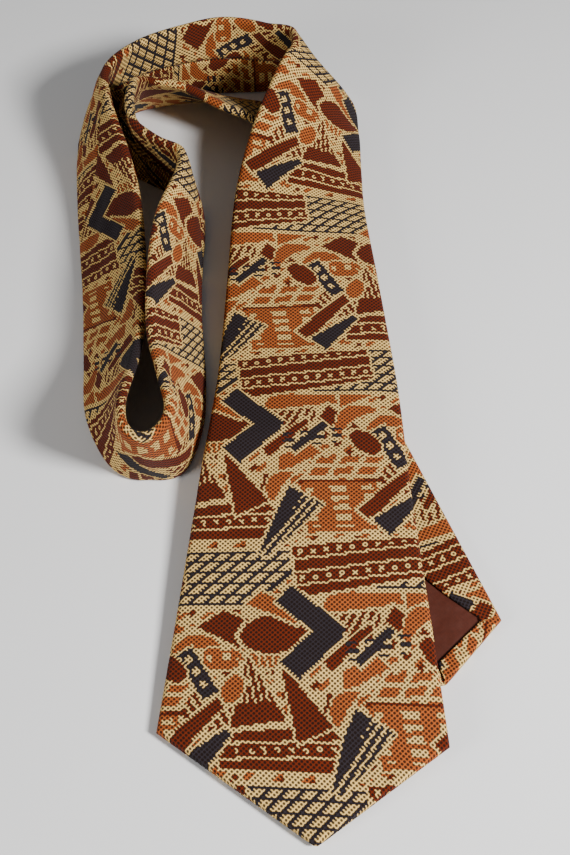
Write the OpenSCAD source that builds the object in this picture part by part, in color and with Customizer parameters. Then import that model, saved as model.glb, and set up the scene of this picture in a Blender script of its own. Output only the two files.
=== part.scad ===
// Necktie, laid face up on a flat surface with its neck band standing in a loop.
// The cloth is followed from the front tip to the tail tip by one route. Lengths are in millimetres.

/* [Blades] */
// Widest width of the front blade
front_w = 102; // [96:1:106]
// Length of the front point, from its corners to its tip
front_point = 36; // [32:1:42]
// How far the front point lies to the right of the blade's middle
front_skew = 5; // [0:1:6]
// Widest width of the tail blade
tail_w = 60; // [54:1:62]
// Length of the tail point, from its corners to its tip
tail_point = 17; // [12:1:20]
// Width of the neck band
neck_w = 45; // [42:1:45]
// Width of the folded hem along both points
hem_w = 7; // [6:1:9]

/* [Cloth] */
// Thickness of one layer of knitted shell cloth
shell_t = 1; // [0.8:0.1:1]
// Thickness of the wool interlining
lining_t = 1.4; // [1.0:0.1:1.4]
// Thickness of the tipping cloth inside each point
tipping_t = 0.3; // [0.2:0.1:0.3]
// Space between two layers of cloth
layer_gap = 0.1; // [0.05:0.05:0.1]
// Diameter of the slip stitch thread
thread_d = 0.5; // [0.3:0.1:0.5]

/* [Flexing] */
// Distance from the front tip to the fold where the front blade lifts
front_flex = 150; // [145:1:152]
// Distance from the tail tip to the centre that the tail swings about
tail_flex = 150; // [145:1:150]
// Space left in the cloth at each flexing place
flex_gap = 0.8; // [0.6:0.1:1.2]

/* [Keeper] */
// Length of the keeper loop across the blade
keeper_l = 52; // [46:1:56]
// Width of the keeper loop along the blade
keeper_w = 14; // [10:1:16]
// Thickness of the keeper loop
keeper_t = 1; // [0.8:0.1:1.2]
// Slack between the keeper loop and the back of the blade
keeper_slack = 0.4; // [0.3:0.1:0.6]

/* [Hidden] */

pack_t = 2 * shell_t + lining_t + tipping_t + 3 * layer_gap; // full thickness of the folded tie
half_t = pack_t / 2;
lining_top = pack_t - shell_t - layer_gap;
lining_bottom = lining_top - lining_t;
tipping_bottom = shell_t + layer_gap;
edge_gap = 0.3;  // from the interlining's edge to the fold of the shell
seam_gap = 0.8;  // between the two folded margins at the back
rings = 4;       // rings between two points of the route
route_step = 50; // between the first points of the route
cut_spare = 1;   // how far a cutting solid passes what it cuts

front_tip = [14.9, -194.3]; // plan place of the front blade's lower end
front_turn = 1;          // the front blade's turn away from straight up
front_slope = 3.6;       // how the front blade rises towards the neck
front_roll = 2.4;        // how its right side rides up on the tail
tail_centre = [18.1, 4]; // plan place of the centre that the tail swings about
tail_heading = 19;       // the tail's turn away from straight down
tongue_r = 24.5;         // round end of the tail, about that centre

// Width of the tie against the distance from the front tip.
width_marks = [[0, front_w], [40, front_w], [130, 84], [190, 74], [290, 60], [400, neck_w], [1300, neck_w]];

fold_place = front_tip + front_flex * cos(front_slope) * [sin(front_turn), cos(front_turn)];
fold_rise = front_flex * sin(front_slope) - lookup(front_flex, width_marks) / 2 * sin(front_roll);

// The route: plan place, height of the lowest edge above the surface, and tilt of the cloth.
// Tilt 0 is face up, 90 stands on its edge and 180 is back up.
route = [
    [fold_place[0] - route_step * sin(front_turn), fold_place[1] - route_step * cos(front_turn),
     fold_rise - 3, -front_roll],
    [fold_place[0], fold_place[1], fold_rise, -front_roll],
    [18.5, -6, 9, -1], [17.5, 44, 9, 2], [16.5, 89, 9, 8], [19.5, 119, 8, 20], [24.5, 146, 7, 36],
    [27.5, 167, 6, 52], [18.5, 183, 3, 67], [1.5, 187, 0, 82], [-20.5, 189, 0, 90], [-41.5, 185, 0, 83],
    [-60.5, 177.5, 0, 78], [-75.5, 166, 0, 73], [-82.5, 153, 0, 69], [-82, 138, 0, 66],
    [-79.5, 123, 0, 62], [-74.5, 101, 0, 54], [-69.5, 76, 0, 49], [-65, 44, 0, 49], [-61.8, 9, 0, 51],
    [-60.5, -18, 0, 58], [-55.5, -42, 0, 80], [-44.5, -52.5, 0, 103], [-33.5, -45, 0, 88],
    [-32.5, -24, 0, 72], [-35, -1, 0, 64], [-37.2, 29, 0, 66], [-37, 58, 0, 70], [-33.3, 83, 0, 80],
    [-34.5, 98, 0, 82], [-45, 108.5, 0, 76], [-56, 117.5, 0, 80], [-63, 128, 0, 92],
    [-67.5, 140, 0, 106], [-69, 151.5, 0, 117], [-63, 161.5, 0, 123], [-49.5, 165.5, 0, 128],
    [-31.5, 166, 0, 136], [-14.5, 161, 0, 144], [3.5, 155, 0, 150], [15, 143.5, 0, 158],
    [19.5, 125, 0, 166], [20.5, 104, 0, 174], [18, 79, 0, 180], [15, 44, 0, 180], [18.1, 4, 0, 180],
    [30.5, -32, 0, 180]
];
first_point = 1;                     // the upper front blade starts here
front_seam_point = 16;               // the front shell is joined to the neck shell here
tail_seam_point = 30;                // the neck shell is joined to the tail shell here
last_point = len(route) - 2;         // the tail's swing centre
keeper_point = 2;

print_colour = [0.72, 0.50, 0.30];
lining_colour = [0.86, 0.83, 0.76];
tipping_colour = [0.40, 0.22, 0.16];
thread_colour = [0.30, 0.16, 0.10];

// ---- Route ----

// Smooth curve through the route's points; a whole k is a point of the route.
function along(k) =
    let (i = min(max(floor(k), 1), len(route) - 3), t = k - i,
         a = route[i - 1], b = route[i], c = route[i + 1], d = route[i + 2])
    0.5 * (2 * b + (c - a) * t + (2 * a - 5 * b + 4 * c - d) * t * t + (3 * b - a - 3 * c + d) * t * t * t);
function heading(k) =
    let (step = 0.02, a = along(k - step), b = along(k + step), d = [b[0] - a[0], b[1] - a[1]])
    d / norm(d);
// Plan distance from the flexing place of the front blade up to each whole point.
function travelled(k) =
    k <= first_point ? front_flex
    : travelled(k - 1) + norm([route[k][0] - route[k - 1][0], route[k][1] - route[k - 1][1]]);
distances = [for (k = [0:len(route) - 1]) travelled(k)];
function width_at(k) =
    let (i = floor(k), t = k - i, j = min(i + 1, len(route) - 1))
    lookup(distances[i] * (1 - t) + distances[j] * t, width_marks);
function across(k) =
    let (h = heading(k), tilt = along(k)[3])
    [h[1] * cos(tilt), -h[0] * cos(tilt), -sin(tilt)];
function outwards(k) =
    let (h = heading(k), tilt = along(k)[3])
    [h[1] * sin(tilt), -h[0] * sin(tilt), cos(tilt)];
function middle(k) =
    let (p = along(k))
    [p[0], p[1], max(p[2], 0) + width_at(k) / 2 * abs(sin(p[3])) + half_t * abs(cos(p[3]))];

// One strip of cloth along the route. Outline points are [side, in, up]: side is -1 or 1 for a
// point measured inwards from that edge and 0 for one measured from the middle, and up is from
// the back of the folded tie.
function strip_point(k, q) =
    middle(k) + across(k) * (q[0] * width_at(k) / 2 + (q[0] == 0 ? q[1] : -q[0] * q[1]))
    + outwards(k) * (q[2] - half_t);
// Rings stand at the same places in every strip, so layers that lie together bend together.
function ring_places(from, to) =
    let (least = 0.2)
    concat([from], [for (i = [ceil(from * rings + least):floor(to * rings - least)]) i / rings], [to]);
module strip(from, to, outline) {
    places = ring_places(from, to);
    n = len(outline);
    last = (len(places) - 1) * n;
    points = [for (k = places, q = outline) strip_point(k, q)];
    // Each four-sided patch is split the same way in every layer: from its left at the first ring.
    sides = [for (r = [0:len(places) - 2], i = [0:n - 1], half = [0, 1])
        let (j = (i + 1) % n, a = r * n + i, b = r * n + j, c = a + n, d = b + n)
        outline[i][0] <= outline[j][0]
            ? (half == 0 ? [a, b, d] : [a, d, c])
            : (half == 0 ? [a, b, c] : [b, d, c])];
    // An outline's second half runs back along its first, so triangles between them close the ends.
    cap = [for (i = [1:n / 2 - 1], half = [0, 1])
        half == 0 ? [i, i + 1, n - i] : [i, n - i, (n + 1 - i) % n]];
    start_cap = [for (c = cap) [c[2], c[1], c[0]]];
    end_cap = [for (c = cap) [for (q = c) last + q]];
    polyhedron(points, concat(sides, start_cap, end_cap), convexity = 8);
}

// Section of the shell: one cloth folded round to the back, where its margins meet at the seam.
shell_outline = [
    [0, -seam_gap / 2, 0], [0, -seam_gap / 2, shell_t],
    [-1, shell_t, shell_t], [-1, shell_t, pack_t - shell_t], [0, 0, pack_t - shell_t],
    [1, shell_t, pack_t - shell_t], [1, shell_t, shell_t],
    [0, seam_gap / 2, shell_t], [0, seam_gap / 2, 0],
    [1, 0, 0], [1, 0, pack_t], [0, 0, pack_t], [-1, 0, pack_t], [-1, 0, 0]
];
lining_in = shell_t + edge_gap;
lining_outline = [
    [-1, lining_in, lining_bottom], [0, 0, lining_bottom], [1, lining_in, lining_bottom],
    [1, lining_in, lining_top], [0, 0, lining_top], [-1, lining_in, lining_top]
];
thread_up = 0.5 * shell_t;
thread_outline = [
    [0, -thread_d / 2, thread_up], [0, 0, thread_up - thread_d / 2],
    [0, thread_d / 2, thread_up], [0, 0, thread_up + thread_d / 2]
];
seam_inset = 0.2;
seam_in = shell_t - seam_inset;
seam_outline = [
    [0, -seam_gap, seam_inset], [0, -seam_gap, seam_in],
    [-1, seam_in, seam_in], [-1, seam_in, pack_t - seam_in], [0, 0, pack_t - seam_in],
    [1, seam_in, pack_t - seam_in], [1, seam_in, seam_in],
    [0, seam_gap, seam_in], [0, seam_gap, seam_inset],
    [1, seam_inset, seam_inset], [1, seam_inset, pack_t - seam_inset],
    [0, 0, pack_t - seam_inset], [-1, seam_inset, pack_t - seam_inset], [-1, seam_inset, seam_inset]
];
seam_half = 0.06; // half the length of a joining seam, in route points

// ---- Flat blades, drawn with the tip at the origin and the cloth running along +Y ----

// Outline of a blade, drawn in from its point and sides by an inset.
module blade_outline(length, w_corner, w_end, point_l, skew = 0, inset = 0) {
    end_y = length + inset;
    offset(delta = -inset)
        polygon([
            [skew, 0], [w_corner / 2, point_l - skew / 2], [w_end / 2, end_y],
            [-w_end / 2, end_y], [-w_corner / 2, point_l + skew / 2]
        ]);
}
// The opening at the back, where the folded margins part to show the tipping.
opening_l = 44;  // from a blade's corners to the top of its opening
corner_rise = 2; // how far the opening's corners lie above the blade's
opening_waist = 0.6; // the opening's width a third of the way up, as a share of its widest
function opening_top(point_l) = point_l + opening_l;
module back_opening(w_corner, point_l, skew) {
    inner = w_corner / 2 - hem_w;
    corner_y = point_l + corner_rise;
    tip_in = hem_w / sin(atan(w_corner / 2 / point_l));
    waist = inner * opening_waist;
    waist_y = corner_y + opening_l / 3;
    polygon([
        [skew, tip_in], [inner, corner_y - skew / 2], [waist, waist_y],
        [0, opening_top(point_l)], [-waist, waist_y], [-inner, corner_y + skew / 2]
    ]);
}
module layer(z, t) {
    translate([0, 0, z]) linear_extrude(t) children();
}
module back_margins() {
    layer(-cut_spare, cut_spare + shell_t + layer_gap / 2) children();
}
module blade_shell(length, w_corner, w_end, point_l, skew = 0) {
    difference() {
        layer(0, pack_t) blade_outline(length, w_corner, w_end, point_l, skew);
        layer(shell_t, pack_t - 2 * shell_t)
            blade_outline(length + cut_spare, w_corner, w_end, point_l, skew, shell_t);
        back_margins() back_opening(w_corner, point_l, skew);
        back_margins()
            translate([-seam_gap / 2, opening_top(point_l) - seam_gap]) square([seam_gap, length]);
        bar_tack_place(point_l, tack_spare);
    }
}
module blade_lining(length, w_corner, w_end, point_l, skew = 0) {
    layer(lining_bottom, lining_t) blade_outline(length, w_corner, w_end, point_l, skew, lining_in);
}
module blade_tipping(length, w_corner, w_end, point_l, tipping_l, skew = 0) {
    layer(tipping_bottom, tipping_t)
        intersection() {
            blade_outline(length, w_corner, w_end, point_l, skew, lining_in);
            translate([-w_corner / 2, 0]) square([w_corner, tipping_l]);
        }
}
tack_l = 7;
tack_w = 1.4;
tack_t = 0.6;
tack_rise = 1;     // from the top of the opening to the tack
tack_spare = 0.15; // room for the tack in the cloth
module bar_tack_place(point_l, spare) {
    translate([-tack_l / 2 - spare, opening_top(point_l) + tack_rise - spare, -spare])
        cube([tack_l + 2 * spare, tack_w + 2 * spare, tack_t + 2 * spare]);
}
// Stitches in the groove between the two margins.
stitch_l = 9;
stitch_pitch = 13;
stitch_rise = 5; // from the top of the opening to the first stitch
module slip_stitches(from, to) {
    for (y = [from:stitch_pitch:to - stitch_l])
        translate([0, y, thread_up]) rotate([-90, 0, 0]) cylinder(h = stitch_l, d = thread_d, $fn = 16);
}

// ---- Places of the two moving blades ----

front_end_w = lookup(front_flex, width_marks);
module on_front() {
    translate([front_tip[0], front_tip[1], 0]) rotate([front_slope, -front_roll, -front_turn]) children();
}
tail_spread = 3; // how much wider than the neck band the tail is at its centre
tail_end_w = neck_w + tail_spread;
// The tail lies back up, so it is turned over about its own length.
module on_tail() {
    translate([tail_centre[0], tail_centre[1], 0]) rotate([0, 0, tail_heading])
        translate([0, -tail_flex, pack_t]) rotate([0, 180, 0]) children();
}
// Everything within a radius of the centre that the tail swings about.
module round_end(r) {
    translate([0, 0, -pack_t]) cylinder(h = 3 * pack_t, r = r, $fn = 96);
}
module tail_cut() {
    intersection() {
        children();
        union() {
            translate([0, tail_flex, 0]) round_end(tongue_r);
            translate([-tail_w, -cut_spare, -pack_t]) cube([2 * tail_w, tail_flex + cut_spare, 3 * pack_t]);
        }
    }
}

// ---- Front blade, below its flexing place ----

front_lower_l = front_flex - flex_gap / 2;
front_tipping_l = 110;
module front_shell_lower() {
    color(print_colour) on_front() blade_shell(front_lower_l, front_w, front_end_w, front_point, front_skew);
}
module front_interlining_lower() {
    color(lining_colour) on_front()
        blade_lining(front_lower_l, front_w, front_end_w, front_point, front_skew);
}
module front_tipping() {
    color(tipping_colour) on_front()
        blade_tipping(front_lower_l, front_w, front_end_w, front_point, front_tipping_l, front_skew);
}
module slip_stitch_front() {
    color(thread_colour) on_front() slip_stitches(opening_top(front_point) + stitch_rise, front_lower_l);
}
module front_bar_tack() {
    color(thread_colour) on_front() bar_tack_place(front_point, 0);
}

// ---- Front shell, from its flexing place to the neck ----

front_start = first_point + flex_gap / 2 / norm(route[2] - route[1]);
module front_shell_upper() {
    color(print_colour) strip(front_start, front_seam_point - seam_half, shell_outline);
}
module front_interlining_upper() {
    color(lining_colour) strip(front_start, front_seam_point - seam_half, lining_outline);
}
keeper_top = -0.15;  // its folded ends lie just under the back of the blade
keeper_under = -keeper_slack - keeper_t;
keeper_end = 5;      // length of each folded end
keeper_side = keeper_l / 2;
keeper_fold = keeper_side - keeper_end;
keeper_outline = [
    [0, keeper_side, keeper_top], [0, keeper_fold, keeper_top], [0, keeper_fold, -keeper_slack],
    [0, 0, -keeper_slack], [0, -keeper_fold, -keeper_slack], [0, -keeper_fold, keeper_top],
    [0, -keeper_side, keeper_top], [0, -keeper_side, keeper_under],
    [0, 0, keeper_under], [0, keeper_side, keeper_under]
];
keeper_half = keeper_w / 2 / route_step; // in route points
module keeper_loop() {
    color(print_colour) strip(keeper_point - keeper_half, keeper_point + keeper_half, keeper_outline);
}
stitch_half = 0.4;   // half the width of one hand stitch
stitch_top = keeper_under - layer_gap / 2;
stitch_t = 0.3;
stitch_reach = 0.03; // half the length of one hand stitch, in route points
module keeper_stitches() {
    color(thread_colour)
        for (side = [-1, 1], k = [-0.8, 0, 0.8]) {
            place = keeper_point + k * keeper_half;
            middle_in = side * (keeper_l - keeper_end) / 2;
            left = middle_in - stitch_half;
            right = middle_in + stitch_half;
            strip(place - stitch_reach, place + stitch_reach, [
                [0, left, stitch_top - stitch_t], [0, right, stitch_top - stitch_t],
                [0, right, stitch_top], [0, left, stitch_top]
            ]);
        }
}
module front_joining_seam() {
    color(thread_colour) strip(front_seam_point - seam_half, front_seam_point + seam_half, seam_outline);
}

// ---- Neck band ----

module neck_shell() {
    color(print_colour) strip(front_seam_point + seam_half, tail_seam_point - seam_half, shell_outline);
}
module neck_interlining() {
    color(lining_colour) strip(front_seam_point + seam_half, tail_seam_point - seam_half, lining_outline);
}
module slip_stitch_neck() {
    color(thread_colour) strip(front_start, last_point - 1, thread_outline);
}
module tail_joining_seam() {
    color(thread_colour) strip(tail_seam_point - seam_half, tail_seam_point + seam_half, seam_outline);
}

// ---- Tail shell ----

module clear_of_tongue() {
    difference() {
        children();
        translate([tail_centre[0], tail_centre[1], 0]) round_end(tongue_r + flex_gap);
    }
}
module tail_shell_upper() {
    color(print_colour) clear_of_tongue() strip(tail_seam_point + seam_half, last_point, shell_outline);
}
module tail_interlining_upper() {
    color(lining_colour) clear_of_tongue() strip(tail_seam_point + seam_half, last_point, lining_outline);
}
tail_lower_l = tail_flex + tongue_r;
tail_tipping_l = 75;
module tail_shell_lower() {
    color(print_colour) on_tail() tail_cut() blade_shell(tail_lower_l, tail_w, tail_end_w, tail_point);
}
module tail_interlining_lower() {
    color(lining_colour) on_tail() tail_cut() blade_lining(tail_lower_l, tail_w, tail_end_w, tail_point);
}
module tail_tipping() {
    color(tipping_colour) on_tail()
        blade_tipping(tail_lower_l, tail_w, tail_end_w, tail_point, tail_tipping_l);
}
module slip_stitch_tail() {
    color(thread_colour) on_tail() slip_stitches(opening_top(tail_point) + stitch_rise, tail_flex);
}
module tail_bar_tack() {
    color(thread_colour) on_tail() bar_tack_place(tail_point, 0);
}

front_shell_lower();
front_interlining_lower();
front_tipping();
slip_stitch_front();
front_bar_tack();
front_shell_upper();
front_interlining_upper();
keeper_loop();
keeper_stitches();
front_joining_seam();
neck_shell();
neck_interlining();
slip_stitch_neck();
tail_joining_seam();
tail_shell_upper();
tail_interlining_upper();
tail_shell_lower();
tail_interlining_lower();
tail_tipping();
slip_stitch_tail();
tail_bar_tack();
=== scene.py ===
import math
import bpy
import numpy as np
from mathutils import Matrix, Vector


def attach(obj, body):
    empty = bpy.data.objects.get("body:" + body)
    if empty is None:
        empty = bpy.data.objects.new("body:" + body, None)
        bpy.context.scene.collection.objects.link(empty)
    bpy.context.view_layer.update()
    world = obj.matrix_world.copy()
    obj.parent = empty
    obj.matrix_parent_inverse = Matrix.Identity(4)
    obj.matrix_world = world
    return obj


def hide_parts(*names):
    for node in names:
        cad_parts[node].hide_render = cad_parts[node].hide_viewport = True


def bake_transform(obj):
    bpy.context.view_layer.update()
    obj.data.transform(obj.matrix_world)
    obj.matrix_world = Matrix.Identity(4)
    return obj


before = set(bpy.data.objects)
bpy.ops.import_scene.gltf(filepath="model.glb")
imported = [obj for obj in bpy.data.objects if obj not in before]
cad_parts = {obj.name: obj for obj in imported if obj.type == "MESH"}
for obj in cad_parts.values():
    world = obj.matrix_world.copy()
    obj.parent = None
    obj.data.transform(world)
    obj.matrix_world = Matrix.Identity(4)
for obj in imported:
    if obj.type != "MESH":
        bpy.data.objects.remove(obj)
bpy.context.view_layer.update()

# ---- Sizes in metres, as in the CAD ----
PACK = 0.004
HALF = PACK / 2
SHELL = 0.001
LINING = 0.0014
HEM = 0.007
FRONT_W, FRONT_POINT, FRONT_SKEW = 0.102, 0.036, 0.005
TAIL_W, TAIL_POINT = 0.060, 0.017
NECK_W = 0.045
FLEX = 0.150
# Widths at distances from the front tip and from the tail tip, above the points.
FRONT_WIDTHS = ((0.13, 0.084), (0.19, 0.074), (0.29, 0.060), (0.40, NECK_W))
TAIL_WIDTHS = ((FLEX, 0.0498), (0.19, 0.0480), (0.27, NECK_W))
OPENING = 0.044
SLIT = 0.0004
THREAD = 0.0005
KEEPER_L, KEEPER_W, KEEPER_T, KEEPER_SLACK = 0.052, 0.014, 0.001, 0.0004
FRONT_TIP = (0.0149, -0.1943)
SLOPE, ROLL, TURN = math.radians(3.6), math.radians(-2.4), math.radians(1)
TAIL_CENTRE = (0.0181, 0.004)
TAIL_TURN = math.radians(19)
# Softness that the CAD leaves out: waves, the rounding between the edges, the dip into a joining seam
# and the raised edges of the slit at the back.
WAVE, BULGE, SEAM_DIP, LIP = 0.0009, 0.0004, 0.0007, 0.0004

# Route of the cloth: x, y and rise of the lowest edge in metres, then tilt in degrees.
ROUTE = np.array([
    (0.01664, -0.09461, 0.00473, -2.4), (0.01751, -0.04462, 0.00773, -2.4), (0.0185, -0.006, 0.009, -1),
    (0.0175, 0.044, 0.009, 2), (0.0165, 0.089, 0.009, 8), (0.0195, 0.119, 0.008, 20),
    (0.0245, 0.146, 0.007, 36), (0.0275, 0.167, 0.006, 52), (0.0185, 0.183, 0.003, 67),
    (0.0015, 0.187, 0, 82), (-0.0205, 0.189, 0, 90), (-0.0415, 0.185, 0, 83), (-0.0605, 0.1775, 0, 78),
    (-0.0755, 0.166, 0, 73), (-0.0825, 0.153, 0, 69), (-0.082, 0.138, 0, 66), (-0.0795, 0.123, 0, 62),
    (-0.0745, 0.101, 0, 54), (-0.0695, 0.076, 0, 49), (-0.065, 0.044, 0, 49), (-0.0618, 0.009, 0, 51),
    (-0.0605, -0.018, 0, 58), (-0.0555, -0.042, 0, 80), (-0.0445, -0.0525, 0, 103),
    (-0.0335, -0.045, 0, 88), (-0.0325, -0.024, 0, 72), (-0.035, -0.001, 0, 64),
    (-0.0372, 0.029, 0, 66), (-0.037, 0.058, 0, 70), (-0.0333, 0.083, 0, 80), (-0.0345, 0.098, 0, 82),
    (-0.045, 0.1085, 0, 76), (-0.056, 0.1175, 0, 80), (-0.063, 0.128, 0, 92), (-0.0675, 0.14, 0, 106),
    (-0.069, 0.1515, 0, 117), (-0.063, 0.1615, 0, 123), (-0.0495, 0.1655, 0, 128),
    (-0.0315, 0.166, 0, 136), (-0.0145, 0.161, 0, 144), (0.0035, 0.155, 0, 150),
    (0.015, 0.1435, 0, 158), (0.0195, 0.125, 0, 166), (0.0205, 0.104, 0, 174), (0.018, 0.079, 0, 180),
    (0.015, 0.044, 0, 180), (0.0181, 0.004, 0, 180), (0.0305, -0.032, 0, 180),
])
FRONT_SEAM_K, TAIL_SEAM_K, KEEPER_K = 16.6, 30, 2


def smooth(t):
    """An even rise from 0 to 1 with soft ends."""
    t = np.clip(t, 0, 1)
    return t * t * (3 - 2 * t)


# ---- Centre line of the whole tie ----
def route_at(k):
    """Route values at a place between its points, on a curve through them all."""
    i = np.clip(np.floor(k).astype(int), 1, len(ROUTE) - 3)
    t = (k - i)[:, None]
    a, b, c, d = ROUTE[i - 1], ROUTE[i], ROUTE[i + 1], ROUTE[i + 2]
    return 0.5 * (2 * b + (c - a) * t + (2 * a - 5 * b + 4 * c - d) * t ** 2
                  + (3 * b - a - 3 * c + d) * t ** 3)


def route_width(s):
    return np.interp(s, *zip(*FRONT_WIDTHS))


def centre_line():
    """Rows of x, y, middle height and tilt, about a millimetre apart, and the row of each route point."""
    s = np.arange(0, FLEX, 0.001)
    lift = s * math.sin(SLOPE) + HALF * math.cos(SLOPE)
    aside, ahead = lift * math.sin(ROLL), s * math.cos(SLOPE) - HALF * math.sin(SLOPE)
    front = np.stack([FRONT_TIP[0] + aside * math.cos(TURN) + ahead * math.sin(TURN),
                      FRONT_TIP[1] - aside * math.sin(TURN) + ahead * math.cos(TURN),
                      lift * math.cos(ROLL), np.full_like(s, math.degrees(ROLL))], 1)
    k = np.linspace(1, len(ROUTE) - 2, 6000)
    p = route_at(k)
    gone = FLEX + np.concatenate([[0], np.cumsum(np.hypot(*np.diff(p[:, :2], axis=0).T))])
    tilt = np.radians(p[:, 3])
    height = np.maximum(p[:, 2], 0) + route_width(gone) / 2 * np.abs(np.sin(tilt))
    height += HALF * np.abs(np.cos(tilt))
    even = np.arange(FLEX, gone[-1], 0.001)
    middle = np.stack([np.interp(even, gone, v) for v in (p[:, 0], p[:, 1], height, p[:, 3])], 1)
    t = np.arange(0, FLEX + 0.0005, 0.001)
    tail = np.stack([TAIL_CENTRE[0] + t * math.sin(TAIL_TURN), TAIL_CENTRE[1] - t * math.cos(TAIL_TURN),
                     np.full_like(t, HALF), np.full_like(t, 180.0)], 1)
    line = np.concatenate([front, middle, tail])
    # The two places where the CAD turns in one step are rounded off.
    soft = line.copy()
    kernel = np.exp(-np.linspace(-2.5, 2.5, 41) ** 2 / 2)
    kernel /= kernel.sum()
    for column in range(4):
        padded = np.pad(line[:, column], 20, mode="reflect", reflect_type="odd")
        soft[:, column] = np.convolve(padded, kernel, "valid")
    rows = np.arange(len(line))
    for joint in (len(front), len(front) + len(middle)):
        share = smooth(1.6 - np.abs(rows - joint) / 25)[:, None]
        line = line * (1 - share) + soft * share
    row_of_k = len(front) + np.interp(np.arange(len(ROUTE)), k, np.interp(gone, even, np.arange(len(even))))
    return line, row_of_k


LINE, ROW_OF_K = centre_line()
AT = np.concatenate([[0], np.cumsum(np.linalg.norm(np.diff(LINE[:, :3], axis=0), axis=1))])
TOTAL = AT[-1]
HEADING = np.gradient(LINE[:, :2], axis=0)
HEADING = np.stack([np.convolve(np.pad(h, 3, mode="edge"), np.ones(7) / 7, "valid") for h in HEADING.T], 1)
HEADING /= np.linalg.norm(HEADING, axis=1)[:, None]
TAIL_FLATTENS = (TOTAL - 0.30, TOTAL - 0.24)


def distance_of(k):
    """Distance from the front tip of a place on the route."""
    return float(np.interp(np.interp(k, np.arange(len(ROUTE)), ROW_OF_K), np.arange(len(AT)), AT))


def half_width(s):
    """Half the tie's width at a distance from the front tip."""
    s = np.asarray(s, float)
    left = TOTAL - s
    front = np.interp(s, *zip((0, 0), (FRONT_POINT, FRONT_W), *FRONT_WIDTHS))
    tail = np.interp(left, *zip((0, 0), (TAIL_POINT, TAIL_W), *TAIL_WIDTHS))
    return np.where(s < TOTAL / 2, front, tail) / 2


def margin_edge(s):
    """Distance from the centre of the folded margins' edges at the back."""
    s = np.asarray(s, float)
    left = TOTAL - s
    out = np.full_like(s, SLIT)
    for d, w, point in ((s, FRONT_W, FRONT_POINT), (left, TAIL_W, TAIL_POINT)):
        tip_in = HEM / math.sin(math.atan(w / 2 / point))
        corner, wide = point + 0.002, w / 2 - HEM
        marks = ((tip_in, 0), (corner, wide), (corner + OPENING / 3, 0.6 * wide), (point + OPENING, 0))
        out = np.maximum(out, np.interp(d, *zip(*marks)))
    return out


def place(s, c, up):
    """Points at distance s along, c across and up from the back of the folded tie."""
    # The front point lies to one side, with its right corner lower than its left.
    corner = np.clip(c / (FRONT_W / 2), -1, 1) * (s > 0) * np.interp(s, [0, FRONT_POINT, 0.075], [1, 1, 0])
    c = c + FRONT_SKEW * np.clip(1 - s / FRONT_POINT, 0, 1)
    s = np.maximum(s - FRONT_SKEW / 2 * corner, 0)
    x, y, z, tilt = (np.interp(s, AT, LINE[:, i]) for i in range(4))
    hx, hy = (np.interp(s, AT, HEADING[:, i]) for i in (0, 1))
    size = np.hypot(hx, hy)
    hx, hy = hx / size, hy / size
    cos, sin = np.cos(np.radians(tilt)), np.sin(np.radians(tilt))
    n = up - HALF
    aside = cos * c + sin * n
    return np.stack([x + hy * aside, y - hx * aside, z - sin * c + cos * n], -1)


# ---- Meshes swept along the tie ----
def make_mesh(name, points, faces, uv, material):
    mesh = bpy.data.meshes.new(name)
    mesh.from_pydata(points.tolist(), [], faces)
    if uv is not None:
        layer = mesh.uv_layers.new(name="cloth")
        index = np.empty(len(mesh.loops), int)
        mesh.loops.foreach_get("vertex_index", index)
        layer.data.foreach_set("uv", uv[index].astype(np.float32).ravel())
    mesh.polygons.foreach_set("use_smooth", np.ones(len(mesh.polygons), bool))
    mesh.update()
    piece = bpy.data.objects.new(name, mesh)
    bpy.context.scene.collection.objects.link(piece)
    mesh.materials.append(material)
    return piece


def print_slant(s):
    """How far the print runs off square to the cloth's length, as the neck pieces are cut on the slant."""
    marks = ((10.5, 0), (14, 0.45), (21, 0.45), (25, -0.35), (30, -0.35), (34, 0))
    return np.interp(s, *zip(*[(distance_of(k), slant) for k, slant in marks]))


def hemmed(s, c, up, u):
    """Place on the cloth, with the hems of both points folded over along their slanting edges."""
    along = s.copy()
    extra = (math.pi - 2) * HALF
    for away, w, point, sign in ((s, FRONT_W, FRONT_POINT, 1), (TOTAL - s, TAIL_W, TAIL_POINT, -1)):
        edge_c, edge_s = w / 2 / math.hypot(w / 2, point), point / math.hypot(w / 2, point)
        side = np.abs(c)
        dot = side * edge_c + away * edge_s
        folded_side = 2 * dot * edge_c - side + extra * edge_s
        folded_away = 2 * dot * edge_s - away - extra * edge_c
        share = smooth((0.0028 - up) / 0.0024) * (away < point + 0.001)
        u = u + share * (np.sign(c) * folded_side - u)
        along = along + share * sign * (folded_away - away)
    return u, along


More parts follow.
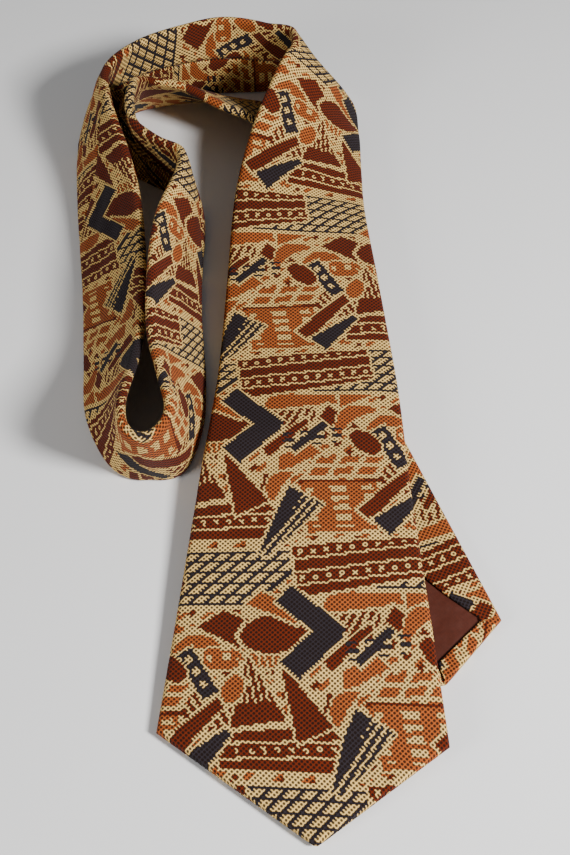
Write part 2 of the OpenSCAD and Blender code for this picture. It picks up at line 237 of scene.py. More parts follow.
def sweep(name, s, section, material, shear=None, origin=(0.0, 0.0), hems=False):
    """A closed loop of points swept along the tie. section(s) gives c, up and the cloth coordinate of each
    point. The second half of the loop runs back under the first, so the ends close with quads."""
    loops = [section(d) for d in s]
    c, up, u = (np.array([loop[i] for loop in loops]) for i in range(3))
    along = s[:, None] + (shear(s)[:, None] * u if shear else 0 * u)
    points = place(along, c, up).reshape(-1, 3)
    cut_size = [float(np.ptp(u)), float(np.ptp(along))]
    if hems:
        u, along = hemmed(along, c, up, u)
    uv = np.stack([u + origin[0], along + print_slant(along) * u + origin[1]], -1).reshape(-1, 2)
    n, rings = c.shape[1], len(s)
    grid = np.arange(rings * n).reshape(rings, n)
    a, b = grid[:-1], np.roll(grid, -1, 1)[:-1]
    d, e = grid[1:], np.roll(grid, -1, 1)[1:]
    faces = np.stack([a, b, e, d], -1).reshape(-1, 4).tolist()
    for ring, turned in ((grid[0], False), (grid[-1], True)):
        for i in range(n // 2 - 1):
            quad = [ring[i], ring[n - 1 - i], ring[n - 2 - i], ring[i + 1]]
            faces.append([int(q) for q in (quad[::-1] if turned else quad)])
    piece = make_mesh(name, points, faces, uv, material)
    piece["cut"] = cut_size
    return piece


def profile(half, edge, radius, low, high, lip=0.0, bulge=0.0):
    """One side of the folded cloth, from the margin's edge at the back left round to the back right."""
    flat = max(half - radius, 0.0)
    edge = min(edge, flat)
    mid, tall = (low + high) / 2, (high - low) / 2
    back = np.linspace(edge, flat, 11)[:-1]
    turn = np.linspace(0, np.pi, 11)
    front = np.linspace(-flat, flat, 35)[1:-1]
    side_c = np.concatenate([back, flat + min(radius, half) * np.sin(turn)])
    side_up = np.concatenate([low - lip * np.exp(-(back - edge) / 0.003), mid - tall * np.cos(turn)])
    c = np.concatenate([-side_c, front, side_c[::-1]])
    up = np.concatenate([side_up, np.full(len(front), high), side_up[::-1]])
    ends = np.zeros(len(back))
    lifted = np.concatenate([ends, np.ones(2 * len(turn) + len(front)), ends])
    up = up + bulge * lifted * np.clip(1 - (c / max(half, 1e-5)) ** 2, 0, 1)
    return c, up


def wave_height(s, c, half):
    """Slight unevenness of the soft cloth on the side that shows, but none where the tail lies flat on it."""
    share = np.interp(s, [0.01, 0.05, *TAIL_FLATTENS], [0, 1, 1, 0])
    inside = np.clip((half - np.abs(c)) / 0.008, 0, 1)
    waves = 2 + np.sin(150 * s + 70 * c) * np.sin(95 * c - 60 * s + 1.3) + np.sin(230 * s - 110 * c + 0.6)
    return WAVE * share * inside * waves / 4


def cloth_loop(c, up, inner_c, inner_up):
    """A loop along the outside of folded cloth and back along its inside, and the place on the cloth."""
    u = np.concatenate([[0], np.cumsum(np.hypot(np.diff(c), np.diff(up)))])
    u -= u[-1] / 2
    return tuple(np.concatenate([out, back[::-1]]) for out, back in ((c, inner_c), (up, inner_up), (u, u)))


def shell_section(ends):
    """The folded shell round its hollow, pinched at the joining seams."""
    def section(s):
        half = float(half_width(s))
        edge = float(margin_edge(s))
        thin = float(np.clip(half / 0.004, 0.35, 1))
        # The cloth dips into the seam where two shell pieces meet.
        dip = sum(SEAM_DIP * math.exp(-abs(s - e) / 0.0012) for e in ends)
        closed = LIP if edge < 0.001 and 0.09 < s < TOTAL - 0.07 else 0.0
        low, high = HALF - HALF * thin, HALF + HALF * thin
        radius = min(HALF, half)
        full = float(np.interp(s, TAIL_FLATTENS, [BULGE, 0]))
        c, up = profile(half, edge, radius - dip, low + dip, high - dip, closed, full)
        up = up + wave_height(s, c, half) * (up > high - 0.0005)
        ci, upi = profile(half - SHELL, min(edge, max(half - radius, 0)), max(radius - SHELL, 0.0003),
                          low + SHELL * thin, high - SHELL * thin, 0, 0.75 * full)
        return cloth_loop(c, up, ci, upi)
    return section


def flat_section(inset, low, high, count=25):
    """A flat layer inside the fold, drawn in a little from the tie's edges."""
    def section(s):
        half = max(float(half_width(s)) - inset, 0.0004)
        c = np.linspace(-half, half, count)
        both = np.concatenate([c, c[::-1]])
        return both, np.concatenate([np.full(count, high), np.full(count, low)]), both
    return section


def stations(start, end, step, extra=()):
    """Distances for the rings of a sweep, evenly spaced with some extra ones, and none too close together."""
    s = np.concatenate([np.arange(start, end, step), [end], [e for e in extra if start <= e <= end]])
    s = np.unique(np.round(s, 5))
    keep = [s[0]] + [b for a, b in zip(s[:-1], s[1:]) if b - a > 0.00015]
    return np.array(keep)


def near(s0):
    """Closely spaced distances about a corner of the outline."""
    return [s0 + d for d in (-0.003, -0.0015, -0.0007, 0, 0.0007, 0.0015, 0.003)]


# ---- Printed cloth ----
STITCH_X, STITCH_Y = 0.98, 0.90
CREAM, ORANGE, BROWN, COAL = 0.0, 1.0, 2.0, 3.0
REPEAT_1, REPEAT_2 = (98 * STITCH_X, 7 * STITCH_Y), (-25 * STITCH_X, 98 * STITCH_Y)
REPEAT_AREA = REPEAT_1[0] * REPEAT_2[1] - REPEAT_1[1] * REPEAT_2[0]


class Sums:
    """Arithmetic on shader sockets and plain numbers, one Math node for each step."""

    def __init__(self, tree):
        self.tree = tree

    def step(self, operation, *values):
        node = self.tree.nodes.new("ShaderNodeMath")
        node.operation = operation
        for socket, value in zip(node.inputs, values):
            if isinstance(value, (int, float)):
                socket.default_value = value
            else:
                self.tree.links.new(value, socket)
        return node.outputs[0]

    def add(self, a, b):
        return self.step("ADD", a, b)

    def mul(self, a, b):
        return self.step("MULTIPLY", a, b)

    def mad(self, a, b, c):
        return self.step("MULTIPLY_ADD", a, b, c)

    def wrap(self, a, half):
        return self.step("WRAP", a, half, -half)

    def below(self, a, b):
        return self.step("LESS_THAN", a, b)

    def largest(self, a, b):
        return self.step("MAXIMUM", a, b)

    def size(self, a):
        return self.step("ABSOLUTE", a)

    def far(self, a, b):
        return self.step("SQRT", self.mad(a, a, self.mul(b, b)))

    def waves(self, a):
        return self.step("SINE", a)

    def mix(self, a, b, share):
        node = self.tree.nodes.new("ShaderNodeMix")
        for socket, value in ((node.inputs[0], share), (node.inputs[2], a), (node.inputs[3], b)):
            if isinstance(value, (int, float)):
                socket.default_value = value
            else:
                self.tree.links.new(value, socket)
        return node.outputs[0]


def print_index(o, x, y):
    """Number of the print colour at a place on the cloth, in millimetres. The print repeats on a slanted
    lattice. Each shape is painted over the last: at() is a place and turn, bar() and oval() are distances
    from an edge, negative inside, and cells() is 1 in the openings of a grid."""
    across = o.mad(x, REPEAT_2[1] / REPEAT_AREA, o.mul(y, -REPEAT_2[0] / REPEAT_AREA))
    along = o.mad(x, -REPEAT_1[1] / REPEAT_AREA, o.mul(y, REPEAT_1[0] / REPEAT_AREA))

    def at(cx, cy, turn=0.0, slant=0.0):
        a = o.wrap(o.add(across, -(cx * REPEAT_2[1] - cy * REPEAT_2[0]) / REPEAT_AREA), 0.5)
        b = o.wrap(o.add(along, -(cy * REPEAT_1[0] - cx * REPEAT_1[1]) / REPEAT_AREA), 0.5)
        c, s = math.cos(math.radians(turn)), math.sin(math.radians(turn))
        p = o.mad(a, c * REPEAT_1[0] + s * REPEAT_1[1], o.mul(b, c * REPEAT_2[0] + s * REPEAT_2[1]))
        q = o.mad(a, c * REPEAT_1[1] - s * REPEAT_1[0], o.mul(b, c * REPEAT_2[1] - s * REPEAT_2[0]))
        return (o.mad(q, -slant, p) if slant else p), q

    def bar(p, half_l, half_w, narrow=0.0, flare=0.0):
        u = o.add(o.size(p[0]), -half_l)
        v = o.add(o.size(p[1]), -half_w)
        return o.largest(o.mad(p[1], narrow, u) if narrow else u, o.mad(p[0], flare, v) if flare else v)

    def oval(p, rx, ry):
        return o.mul(o.add(o.far(o.mul(p[0], 1 / rx), o.mul(p[1], 1 / ry)), -1.0), min(rx, ry))

    def cells(p, pitch_x, pitch_y, half_x, half_y, dx=0.0, dy=0.0):
        u = o.size(o.wrap(o.add(p[0], dx), pitch_x / 2))
        v = o.size(o.wrap(o.add(p[1], dy), pitch_y / 2))
        return o.mul(o.below(u, half_x), o.below(v, half_y))

    def paint(col, d, colour, rim=1.3):
        return o.mix(o.mix(col, CREAM, o.below(d, rim)), colour, o.below(d, 0.0))

    def within(col, d, colour, mask, inset=0.0):
        return o.mix(col, colour, o.mul(o.below(d, -inset), mask))

    # Small marks over the whole ground, then patches of slanting streaks.
    p = at(0, 0, 34)
    col = o.mix(CREAM, ORANGE, cells(p, 8.3, 5.9, 2.3, 1.0))
    p = at(20, 40, 52)
    col = o.mix(col, BROWN, cells(p, 9.7, 6.3, 1.5, 1.0))
    for cx, cy, turn, length, width in (
            (38, 30, -55, 10, 9), (-8, 14, 80, 9, 7), (28, -33, 66, 9, 8), (-46, 14, -62, 8, 6)):
        p = at(cx, cy, turn)
        d = bar(p, length, width, flare=0.35)
        streaks = o.below(o.waves(o.mad(p[1], 2.1, o.mul(p[0], 0.12))), 0.1)
        col = within(paint(col, d, CREAM, 0), d, BROWN, streaks)
    # Plain blocks.
    p = at(-38, 40, 8)
    d = bar(p, 15, 5.2, flare=-0.1)
    col = within(paint(col, d, ORANGE), d, CREAM, cells(p, 6.8, 12, 1.6, 1.2), 1.4)
    col = paint(col, bar(at(33, -26, 7), 18, 3.8, narrow=0.6), ORANGE)
    col = paint(col, bar(at(-21, -37, -28), 6.5, 5.2, narrow=0.5), BROWN)
    col = paint(col, bar(at(-43, -29, 24), 9, 3.8, narrow=0.3), ORANGE)
    col = paint(col, bar(at(46, -38, -30), 9, 3.0, flare=0.2), BROWN)
    col = paint(col, bar(at(4, 34, 30), 8, 3.4, narrow=0.4), ORANGE)
    # Panel with rows of openings under a slanting roof.
    p = at(22, 12, 3, -0.12)
    d = bar(p, 15, 11.0)
    col = within(paint(col, d, ORANGE), d, CREAM, cells(p, 12.5, 4.2, 3.1, 1.2, 0.4, 1.0), 1.9)
    p = at(23, 28.5, 4, 0.6)
    d = bar(p, 16, 5.6)
    col = within(paint(col, d, CREAM, 0), d, ORANGE, cells(p, 9.5, 5.2, 3.5, 1.7, dy=1.0))
    col = o.mix(col, BROWN, o.below(bar(at(21.5, 23, 1), 17, 0.7), 0))
    # Dark block with rows of openings.
    p = at(-27, -18, 0, STITCH_X / STITCH_Y)
    d = bar(p, 28, 11)
    openings = cells(p, 6 * STITCH_X, 5 * STITCH_Y, 1.9 * STITCH_X, 1.6 * STITCH_Y)
    col = within(paint(col, d, COAL), d, CREAM, openings, 1.2)
    # Bundles of brown bands with dots.
    for cx, cy, turn, length, width, flare, line_y, line_half, dots in (
            (31, -12, 7, 27, 9.2, 0.06, 0.6, 2.7, (4.9, 10.8, 0.95, 0.95, 0.0, 3.4)),
            (-25, 5.5, 3, 22, 7.2, -0.06, 2.9, 2.7, (4.9, 10.8, 0.95, 0.95, 1.0, 0.2))):
        p = at(cx, cy, turn)
        d = bar(p, length, width, flare=flare)
        col = paint(col, d, BROWN)
        col = within(col, d, CREAM, o.below(o.size(o.wrap(o.add(p[1], line_y), line_half)), 0.5), -1.0)
        col = within(col, d, CREAM, cells(p, *dots), 1.0)
    # Spikes, one with a brushed top.
    for cx, cy, turn, width, length in ((-35, 27, 10, 10, 13), (-19, 24, 26, 7, 14.5)):
        col = paint(col, bar(at(cx, cy, turn), width / 2, length, narrow=width / 2 / length), BROWN, 1.1)
    p = at(-33, 31, 8)
    streaks = o.below(o.waves(o.mad(p[0], 2.6, o.mul(p[1], 0.25))), -0.35)
    col = within(col, bar(p, 7, 9), CREAM, streaks)
    # Two dark bars meeting at a corner, beside an oval.
    col = paint(col, oval(at(-3, -40, 6), 12.5, 7.5), BROWN, 1.1)
    col = paint(col, bar(at(-3, -29.5, -24), 9, 3.2, narrow=0.4), ORANGE, 1.0)
    col = paint(col, bar(at(9.5, -32.5, -40), 12.5, 4.2), COAL, 1.1)
    col = paint(col, bar(at(10.5, -46, 46), 11.5, 4.8), COAL, 1.1)
    col = o.mix(col, COAL, o.below(bar(at(10.5, -33.5, -40), 12.5, 4.2), 0))
    # Long slanting bars.
    col = paint(col, bar(at(44, 22, 47), 20, 2.6, flare=0.05), BROWN, 1.1)
    col = paint(col, bar(at(45, 10, 42), 11, 3.0, flare=0.15), COAL, 1.1)
    col = paint(col, bar(at(24, -45, 44), 11, 1.9, flare=0.06), BROWN, 1.0)
    col = paint(col, bar(at(33, -45, 46), 9, 1.7), COAL, 1.0)
    # Brushed dark shape.
    p = at(0, 4, 58)
    d = bar(p, 15, 5.0, flare=-0.2)
    streaks = o.mul(o.below(o.waves(o.mad(p[1], 2.4, o.mul(p[0], 0.18))), -0.3), o.below(p[1], 1.0))
    col = within(paint(col, d, COAL, 1.1), d, CREAM, streaks)
    # Curved strokes.
    for cx, cy, turn, rx, ry in ((-47, -40, 38, 10, 3.4), (-34, -44, 26, 10, 3.2), (-4, 22, 60, 7.5, 3.0)):
        p = at(cx, cy, turn)
        col = paint(col, oval((p[0], o.mad(o.mul(p[0], p[0]), 0.05, p[1])), rx, ry), ORANGE, 0.9)
    # Short pierced bar, two ovals and thin dashes.
    p = at(41, 39, -58)
    d = bar(p, 10, 3.2)
    col = within(paint(col, d, COAL, 1.0), d, CREAM, cells(p, 5.4, 12, 1.25, 1.2, 0.6), 0.9)
    col = paint(col, oval(at(31, 41, -40), 7.2, 4.2), BROWN, 1.0)
    col = paint(col, oval(at(54, 33, 70), 5.6, 3.6), ORANGE, 1.0)
    p = at(10, 43, 8)
    return within(col, bar(p, 12, 3.4), COAL, cells(p, 12.5, 3.3, 4.9, 0.85, dy=0.4))


def linear(red, green, blue):
    """A screen colour, 0 to 255, as the renderer's linear colour."""
    return (*[((v / 255 + 0.055) / 1.055) ** 2.4 for v in (red, green, blue)], 1)


def new_material(name):
    mat = bpy.data.materials.new(name)
    mat.use_nodes = True
    return mat, mat.node_tree, mat.node_tree.nodes["Principled BSDF"]


def mix_colour(tree, mode, share, a, b):
    node = tree.nodes.new("ShaderNodeMix")
    node.data_type = "RGBA"
    node.blend_type = mode
    for socket, value in ((node.inputs[0], share), (node.inputs[6], a), (node.inputs[7], b)):
        if isinstance(value, (int, float, tuple)):
            socket.default_value = value
        else:
            tree.links.new(value, socket)
    return node.outputs[2]


def noise_on(tree, vector, scale, detail=2.0):
    node = tree.nodes.new("ShaderNodeTexNoise")
    node.inputs["Scale"].default_value = scale
    node.inputs["Detail"].default_value = detail
    tree.links.new(vector, node.inputs["Vector"])
    return node.outputs["Fac"]


def raise_surface(tree, bsdf, height, strength, distance):
    bump = tree.nodes.new("ShaderNodeBump")
    bump.inputs["Strength"].default_value = strength
    bump.inputs["Distance"].default_value = distance
    tree.links.new(height, bump.inputs["Height"])
    tree.links.new(bump.outputs["Normal"], bsdf.inputs["Normal"])


def cloth_place(tree):
    """The place on the unfolded cloth in millimetres: x, y and both together."""
    uv = tree.nodes.new("ShaderNodeUVMap")
    uv.uv_map = "cloth"
    scaled = tree.nodes.new("ShaderNodeVectorMath")
    scaled.operation = "SCALE"
    scaled.inputs["Scale"].default_value = 1000
    tree.links.new(uv.outputs[0], scaled.inputs[0])
    split = tree.nodes.new("ShaderNodeSeparateXYZ")
    tree.links.new(scaled.outputs[0], split.inputs[0])
    return split.outputs[0], split.outputs[1], scaled.outputs[0]


def printed_knit():
    """Open-mesh knit: the print in whole stitches, uneven ink, and holes in a quincunx, painted dark as the
    shade inside them.
    """
    mat, tree, bsdf = new_material("printed_knit")
    o = Sums(tree)
    x, y, both = cloth_place(tree)
    cell_x = o.step("FLOOR", o.mul(x, 1 / STITCH_X))
    cell_y = o.step("FLOOR", o.mul(y, 1 / STITCH_Y))
    index = print_index(o, o.mad(cell_x, STITCH_X, STITCH_X / 2), o.mad(cell_y, STITCH_Y, STITCH_Y / 2))
    ramp = tree.nodes.new("ShaderNodeValToRGB")
    ramp.color_ramp.interpolation = "CONSTANT"
    stops = ((0.0, CREAM_INK), (0.17, ORANGE_INK), (0.5, BROWN_INK), (0.83, COAL_INK))
    for i, (where, ink) in enumerate(stops):
        stop = ramp.color_ramp.elements[i] if i < 2 else ramp.color_ramp.elements.new(where)
        stop.position, stop.color = where, linear(*ink)
    tree.links.new(o.mul(index, 1 / 3), ramp.inputs[0])
    # Each knitted stitch takes the ink a little differently, and the cloth fades slowly from place to place.
    cell = tree.nodes.new("ShaderNodeCombineXYZ")
    tree.links.new(cell_x, cell.inputs[0])
    tree.links.new(cell_y, cell.inputs[1])
    chance = tree.nodes.new("ShaderNodeTexWhiteNoise")
    chance.noise_dimensions = "2D"
    tree.links.new(cell.outputs[0], chance.inputs["Vector"])
    slow = noise_on(tree, both, 0.045, 3.0)
    shade = o.mad(slow, 0.34, o.mad(chance.outputs["Value"], 0.16, 0.75))
    grey = tree.nodes.new("ShaderNodeCombineXYZ")
    for socket in grey.inputs:
        tree.links.new(shade, socket)
    colour = mix_colour(tree, "MULTIPLY", 1.0, ramp.outputs[0], grey.outputs[0])
    # Open holes between the stitches, set in a quincunx, with painted shade: each hole is darkened to a
    # near-black brown.
    pitch_x, pitch_y = 2 * STITCH_X, 2 * STITCH_Y
    near_one = o.far(o.wrap(x, pitch_x / 2), o.wrap(y, pitch_y / 2))
    near_other = o.far(o.wrap(o.add(x, STITCH_X), pitch_x / 2), o.wrap(o.add(y, STITCH_Y), pitch_y / 2))
    close = o.step("MINIMUM", near_one, near_other)
    fade = tree.nodes.new("ShaderNodeMapRange")
    fade.interpolation_type = "SMOOTHSTEP"
    for socket, value in zip(fade.inputs[1:5], (HOLE - 0.18, HOLE + 0.18, 1.0, 0.0)):
        socket.default_value = value
    tree.links.new(close, fade.inputs[0])
    hole = fade.outputs[0]
    # Painted shade: the holes are mixed almost fully to dark brown, standing in for the shadow inside them.
    colour = mix_colour(tree, "MIX", o.mul(hole, 0.93), colour, linear(24, 12, 7))
    tree.links.new(colour, bsdf.inputs["Base Color"])
    bsdf.inputs["Roughness"].default_value = 0.92
    bsdf.inputs["Specular IOR Level"].default_value = 0.12
    bsdf.inputs["Sheen Weight"].default_value = 0.03
    bsdf.inputs["Sheen Roughness"].default_value = 0.5
    fuzz = noise_on(tree, both, 3.5, 2.0)
    raise_surface(tree, bsdf, o.mad(hole, -1.0, o.mul(fuzz, 0.5)), 0.55, 0.0003)
    return mat


def woven(name, ink, pitch, rough, relief, folds):
    """Plain weave: ribs both ways, with uneven yarns and shallow folds."""
    mat, tree, bsdf = new_material(name)
    o = Sums(tree)
    x, y, both = cloth_place(tree)
    rib_x = o.waves(o.mul(x, 2 * math.pi / pitch))
    rib_y = o.waves(o.mul(y, 2 * math.pi / pitch))
    weave = o.mul(o.add(rib_x, rib_y), 0.25)
    yarns = noise_on(tree, both, 0.9, 3.0)
    shade = o.mad(weave, 0.16, o.mad(yarns, 0.5, 0.72))
    grey = tree.nodes.new("ShaderNodeCombineXYZ")
    for socket in grey.inputs:
        tree.links.new(shade, socket)
    colour = mix_colour(tree, "MULTIPLY", 1.0, linear(*ink), grey.outputs[0])
    tree.links.new(colour, bsdf.inputs["Base Color"])
    bsdf.inputs["Roughness"].default_value = rough
    bsdf.inputs["Specular IOR Level"].default_value = 0.25
    bsdf.inputs["Sheen Weight"].default_value = 0.04
    creased = o.mad(noise_on(tree, both, 0.09, 2.0), folds, o.mad(yarns, 0.6, weave))
    raise_surface(tree, bsdf, creased, 0.5, relief)
    return mat


def twisted(name, ink):
    """Sewing thread, with slanting plies."""
    mat, tree, bsdf = new_material(name)
    place_in = tree.nodes.new("ShaderNodeTexCoord")
    ply = tree.nodes.new("ShaderNodeTexWave")
    ply.bands_direction = "DIAGONAL"
    ply.inputs["Scale"].default_value = 700
    ply.inputs["Distortion"].default_value = 1.5
    tree.links.new(place_in.outputs["Object"], ply.inputs["Vector"])
    colour = mix_colour(tree, "MIX", ply.outputs["Fac"], linear(*[0.7 * v for v in ink]), linear(*ink))
    tree.links.new(colour, bsdf.inputs["Base Color"])
    bsdf.inputs["Roughness"].default_value = 0.6
    raise_surface(tree, bsdf, ply.outputs["Fac"], 0.4, 0.0001)
    return mat


CREAM_INK, ORANGE_INK, BROWN_INK, COAL_INK = (232, 190, 112), (162, 82, 34), (98, 33, 8), (41, 35, 39)
HOLE = 0.50
shell_mat = printed_knit()
lining_mat = woven("interlining_cloth", (224, 216, 196), 1.1, 0.95, 0.0002, 0)
tipping_mat = woven("tipping_cloth", (70, 28, 15), 0.5, 0.55, 0.00005, 40)
thread_mat = twisted("thread", (92, 52, 34))

# ---- Shells ----
S_FRONT_SEAM, S_TAIL_SEAM = distance_of(FRONT_SEAM_K), distance_of(TAIL_SEAM_K)
SEAM_SLOPE = 1.3
RAMP = 0.15


def shear(s):
    """How far each ring slants, so that the pieces meet on a diagonal seam."""
    a = np.clip(1 - np.abs(s - S_FRONT_SEAM) / RAMP, 0, 1)
    b = np.clip(1 - np.abs(s - S_TAIL_SEAM) / RAMP, 0, 1)
    return SEAM_SLOPE * (a - b)


SEAM_GAP, TIP_GAP, SHELL_STEP = 0.0002, 0.0006, 0.0025
BY_SEAM = (0.0006, 0.0012, 0.002, 0.0035)
section = shell_section((S_FRONT_SEAM, S_TAIL_SEAM))
front_extra = [0.0012, 0.002, 0.0035, *near(FRONT_POINT), *near(0.0113), *near(FRONT_POINT + OPENING)]
tail_extra = [0.0012, 0.002, 0.0035, *near(TAIL_POINT), *near(0.0103), *near(TAIL_POINT + OPENING)]
front_s = stations(TIP_GAP, S_FRONT_SEAM - SEAM_GAP, SHELL_STEP,
                   front_extra + [S_FRONT_SEAM - d for d in BY_SEAM])
neck_s = stations(S_FRONT_SEAM + SEAM_GAP, S_TAIL_SEAM - SEAM_GAP, SHELL_STEP,
                  [S_FRONT_SEAM + d for d in BY_SEAM] + [S_TAIL_SEAM - d for d in BY_SEAM])
tail_s = stations(S_TAIL_SEAM + SEAM_GAP, TOTAL - TIP_GAP, SHELL_STEP,
                  [S_TAIL_SEAM + d for d in BY_SEAM] + [TOTAL - d for d in tail_extra])
front_shell = sweep("front_cloth", front_s, section, shell_mat, shear, (0.007, -0.114), True)
neck_shell = sweep("neck_cloth", neck_s, section, shell_mat, shear, (0.031, 0.017))
tail_shell = sweep("tail_cloth", tail_s, section, shell_mat, shear, (0.012, 0.055), True)

# ---- Interlinings ----
LAYER_INSET, LINING_UP, TIP_SETBACK, LINING_GAP = 0.0013, 0.0015, 0.004, 0.001
near_tail_point = [TOTAL - d for d in near(TAIL_POINT)]
lining = flat_section(LAYER_INSET, LINING_UP, LINING_UP + LINING)
linings = [
    sweep(name, stations(start, end, 0.004, extra), lining, lining_mat, shear)
    for name, start, end, extra in (
        ("front_lining", TIP_SETBACK, S_FRONT_SEAM - LINING_GAP, near(FRONT_POINT)),
        ("neck_lining", S_FRONT_SEAM + LINING_GAP, S_TAIL_SEAM - LINING_GAP, ()),
        ("tail_lining", S_TAIL_SEAM + LINING_GAP, TOTAL - TIP_SETBACK, near_tail_point))]

# ---- Tippings ----
FRONT_TIPPING_TO, TAIL_TIPPING_TO = 0.110, 0.075
tipping = flat_section(LAYER_INSET, 0.0011, 0.0014)
front_tipping = sweep("front_tipping_silk", stations(TIP_SETBACK, FRONT_TIPPING_TO, 0.003, near(FRONT_POINT)),
                      tipping, tipping_mat)
tail_tipping = sweep("tail_tipping_silk",
                     stations(TOTAL - TAIL_TIPPING_TO, TOTAL - TIP_SETBACK, 0.003, near_tail_point),
                     tipping, tipping_mat)

# ---- Seams, stitches, tacks and the keeper loop ----
def seam_ring(name, s0):
    """The joining seam: a ring of thread that lies in the dip between two shell pieces."""
    def inside(_):
        half, deep = NECK_W / 2, SEAM_DIP + THREAD
        c, up = profile(half, SLIT, HALF - SEAM_DIP, SEAM_DIP, PACK - SEAM_DIP)
        ci, upi = profile(half - 0.0008, SLIT, HALF - deep, deep, PACK - deep)
        return cloth_loop(c, up, ci, upi)
    return sweep(name, s0 + np.array([-0.00018, 0, 0.00018]), inside, thread_mat, shear)


def threads(name, paths, radius=THREAD / 2):
    """Threads drawn through lists of places on the tie: distance along, across and up."""
    points, faces = [], []
    ring = np.arange(6) * math.pi / 3
    for path in paths:
        s, c, up = np.array(path, float).T
        line = place(s, c, up)
        ahead = np.gradient(line, axis=0)
        ahead /= np.linalg.norm(ahead, axis=1)[:, None]
        lift = place(s, c, up + 0.001) - line
        lift /= np.linalg.norm(lift, axis=1)[:, None]
        beside = np.cross(ahead, lift)
        beside /= np.linalg.norm(beside, axis=1)[:, None]
        lift = np.cross(beside, ahead)
        first = len(points)
        for i in range(len(line)):
            r = radius * (0.55 if i in (0, len(line) - 1) else 1)
            points += [line[i] + r * (math.cos(t) * beside[i] + math.sin(t) * lift[i]) for t in ring]
        for i in range(len(line) - 1):
            a = first + 6 * i
            faces += [[a + k, a + (k + 1) % 6, a + 6 + (k + 1) % 6, a + 6 + k] for k in range(6)]
        faces.append([first + k for k in range(5, -1, -1)])
        faces.append([first + 6 * (len(line) - 1) + k for k in range(6)])
    return make_mesh(name, np.array(points), faces, None, thread_mat)


def slip_row(name, start, end):
    """Long hand stitches that cross the slit at the back from one margin to the other."""
    paths = []
    for i, s in enumerate(np.arange(start, end - 0.009, 0.013)):
        side = 0.0009 if i % 2 else -0.0009
        paths.append([(s, -side, 0.0008), (s + 0.0015, -side * 0.6, 0.0001), (s + 0.0045, 0, -0.0001),
                      (s + 0.0075, side * 0.6, 0.0001), (s + 0.009, side, 0.0008)])
    return threads(name, paths)


def bar_tack(name, s0):
    """A row of tight stitches across the top of a back opening."""
    across = ((-0.0035, 0.0005), (-0.002, -0.0001), (0.002, -0.0001), (0.0035, 0.0005))
    return threads(name, [[(s0 + 0.0012 + 0.00035 * k, c, up) for c, up in across] for k in range(4)])


TAIL_FLEX = TOTAL - FLEX
front_row = slip_row("front_slip_stitches", FRONT_POINT + OPENING + 0.005, FLEX + 0.030)
neck_row = slip_row("neck_slip_stitches", FLEX + 0.034, TAIL_FLEX - 0.034)
tail_row = slip_row("tail_slip_stitches", TAIL_FLEX - 0.030, TOTAL - TAIL_POINT - OPENING - 0.005)
front_tack = bar_tack("front_tack", FRONT_POINT + OPENING)
tail_tack = bar_tack("tail_tack", TOTAL - TAIL_POINT - OPENING - 0.0035)
front_ring = seam_ring("front_seam", S_FRONT_SEAM)
tail_ring = seam_ring("tail_seam", S_TAIL_SEAM)

S_KEEPER = distance_of(KEEPER_K)


def keeper_section(_):
    """The keeper loop: a flat band under the back, with its two ends turned in."""
    side, turned_in, bend, top, thin = KEEPER_L / 2, 0.005, 0.0006, -0.00015, 0.0004
    flat = np.linspace(-side + bend, side - bend, 19)
    turn = np.linspace(-np.pi / 2, np.pi / 2, 7)[1:-1]
    low = -KEEPER_SLACK - KEEPER_T
    rise = (top - low) / 2
    end_c = np.append(side - bend + bend * np.cos(turn), side - turned_in)
    end_up = np.append(low + rise + rise * np.sin(turn), top)
    c = np.concatenate([-end_c[::-1], flat, end_c])
    up = np.concatenate([end_up[::-1], np.full(len(flat), low), end_up])
    ci = c * (1 - thin / side)
    upi = np.where(up > low + rise, up - thin, low + 2 * thin)
    return cloth_loop(c, up, ci, upi)


keeper = sweep("keeper_band", S_KEEPER + np.linspace(-KEEPER_W / 2, KEEPER_W / 2, 9), keeper_section,
               shell_mat, None, (0.04, 0.03))
keeper_rows = threads("keeper_threads", [
    [(S_KEEPER + k * 0.0055, side * (KEEPER_L / 2 - inward), up - KEEPER_T)
     for inward, up in ((0.0045, -0.0008), (0.0030, -0.0006), (0.0015, -0.0008))]
    for side in (-1, 1) for k in (-1, -0.5, 0, 0.5, 1)])
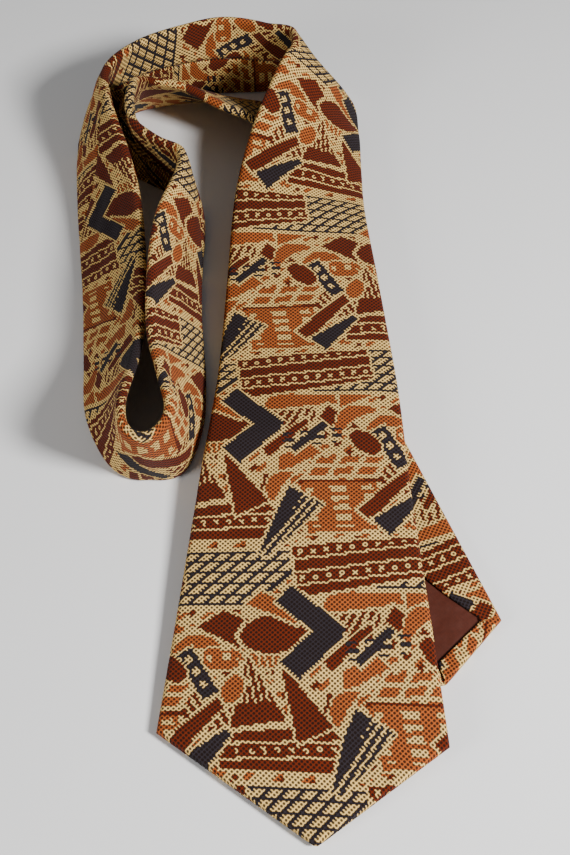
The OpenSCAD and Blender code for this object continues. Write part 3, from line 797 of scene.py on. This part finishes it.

# ---- Riding, and hiding the CAD parts that the pieces stand for ----
flex_front = Vector(place(np.array(FLEX), 0.0, HALF))
for piece in (front_shell, linings[0], front_row):
    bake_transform(piece)
for piece in (tail_shell, linings[2], tail_row):
    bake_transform(piece)
for piece in (neck_shell, linings[1], neck_row, front_ring, tail_ring, keeper, keeper_rows):
    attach(piece, "neck_band")
for piece in (front_tipping, front_tack):
    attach(piece, "front_blade")
for piece in (tail_tipping, tail_tack):
    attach(piece, "tail_blade")
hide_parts("front_shell_lower", "front_shell_upper")
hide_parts("neck_shell")
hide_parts("tail_shell_lower", "tail_shell_upper")
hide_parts("front_interlining_lower", "front_interlining_upper")
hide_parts("neck_interlining")
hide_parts("tail_interlining_lower", "tail_interlining_upper")
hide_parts("front_tipping")
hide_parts("tail_tipping")
for piece, node in (
        (front_row, "slip_stitch_front"), (neck_row, "slip_stitch_neck"), (tail_row, "slip_stitch_tail"),
        (front_tack, "front_bar_tack"), (tail_tack, "tail_bar_tack"),
        (front_ring, "front_joining_seam"), (tail_ring, "tail_joining_seam"),
        (keeper, "keeper_loop"), (keeper_rows, "keeper_stitches")):
    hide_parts(node)


# ---- The flat size that each piece was cut to ----
def cut_from(piece):
    """Reads a folded piece's unfolded width and length, measured along the cloth."""
    width, length = piece["cut"]


cut_from(front_shell)
cut_from(neck_shell)
cut_from(tail_shell)
cut_from(keeper)
for piece, around in zip(linings, (front_shell, neck_shell, tail_shell)):
    cut_from(piece)
cut_from(front_tipping)
cut_from(tail_tipping)

# ---- Stage, light and camera ----
def stage_floor():
    """A plain pale floor just under the tie."""
    bpy.ops.mesh.primitive_plane_add(size=6, location=(0, 0, -0.0003))
    floor = bpy.context.object
    floor.name = "floor"
    mat = bpy.data.materials.new("floor_paint")
    mat.use_nodes = True
    bsdf = mat.node_tree.nodes["Principled BSDF"]
    bsdf.inputs["Base Color"].default_value = (0.80, 0.795, 0.79, 1)
    bsdf.inputs["Roughness"].default_value = 0.8
    floor.data.materials.append(mat)


def area_light(name, place_at, target, size, power):
    data = bpy.data.lights.new(name, "AREA")
    data.shape = "RECTANGLE"
    data.size, data.size_y = size
    data.energy = power
    lamp = bpy.data.objects.new(name, data)
    lamp.location = place_at
    lamp.rotation_euler = (Vector(target) - Vector(place_at)).to_track_quat("-Z", "Y").to_euler()
    bpy.context.scene.collection.objects.link(lamp)


stage_floor()
area_light("key", (0.62, -0.38, 0.62), (0.0, -0.06, 0), (0.17, 0.20), 17.5)
area_light("fill", (-0.72, -0.50, 0.42), (-0.03, 0.0, 0.02), (0.35, 0.35), 4.5)
world = bpy.data.worlds.new("world")
bpy.context.scene.world = world
world.use_nodes = True
background = world.node_tree.nodes["Background"]
background.inputs["Color"].default_value = (0.97, 0.98, 1, 1)
background.inputs["Strength"].default_value = 0.16

camera_data = bpy.data.cameras.new("camera")
camera_data.lens = 50
camera_data.sensor_width = 36
camera = bpy.data.objects.new("camera", camera_data)
camera.location = (0.0095, -0.306, 0.404)
camera.rotation_euler = (math.radians(35), 0, 0)
bpy.context.scene.collection.objects.link(camera)
bpy.context.scene.camera = camera
